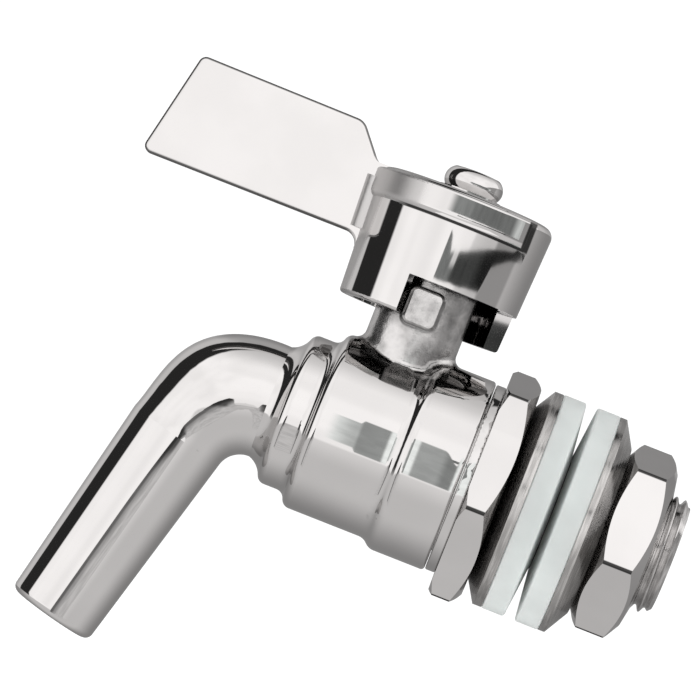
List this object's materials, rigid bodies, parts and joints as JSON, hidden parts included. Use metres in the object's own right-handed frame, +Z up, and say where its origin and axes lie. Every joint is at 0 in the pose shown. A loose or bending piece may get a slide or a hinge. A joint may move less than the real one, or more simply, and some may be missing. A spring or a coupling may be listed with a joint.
{
  "type": "water filter tap",
  "caption": "Quarter-turn lever tap in polished steel with a bent spout and a threaded tail that clamps through a tank wall with soft washers and a backnut.",
  "frame": {"origin": "on the threaded tail's axis, at the face of the tank wall where the two soft washers meet", "axes": "+X along the barrel and its threaded tail, away from the spout; +Z up the stem; -Y towards the side with the stop lug"},
  "size_m": [0.0878, 0.0338, 0.0803],
  "materials": {
    "polished_steel": "mirror polished",
    "turned_steel": "fine turned",
    "silicone": "milky translucent silicone",
    "seal_rubber": "matte",
    "seat_plastic": "waxy"
  },
  "bodies": {
    "valve": {"valve_body": "polished_steel", "end_connector": "polished_steel", "body_o_ring": "seal_rubber", "front_seat": "seat_plastic", "rear_seat": "seat_plastic", "stem_lower_washer": "seat_plastic", "stem_upper_washer": "seat_plastic", "stem_gland": "turned_steel", "front_steel_washer": "turned_steel", "front_silicone_washer": "silicone"},
    "lever": {"lever_handle": "polished_steel", "handle_washer": "turned_steel", "handle_screw": "polished_steel", "stem": "turned_steel", "stem_o_ring_lower": "seal_rubber", "stem_o_ring_upper": "seal_rubber", "ball": "polished_steel"},
    "rear_washers": {"rear_silicone_washer": "silicone", "rear_steel_washer": "turned_steel"},
    "nut": {"backnut": "polished_steel"}
  },
  "joints": [
    {"name": "lever_turn", "type": "hinge", "parent": "valve", "child": "lever", "pos_m": [-0.0262, 0, 0], "axis": [0, 0, 1], "range_deg": [-90, 0]},
    {"name": "washers_slide", "type": "slide", "parent": "valve", "child": "rear_washers", "axis": [1, 0, 0], "range_m": [0, 0.00468]},
    {"name": "backnut_spin", "type": "hinge", "parent": "rear_washers", "child": "nut", "pos_m": [0, 0, 0], "axis": [1, 0, 0], "range_deg": [0, 1260]}
  ],
  "couplings": [
    {"joint": "washers_slide", "follows": "backnut_spin", "m_per_rad": 0.00021279}
  ]
}
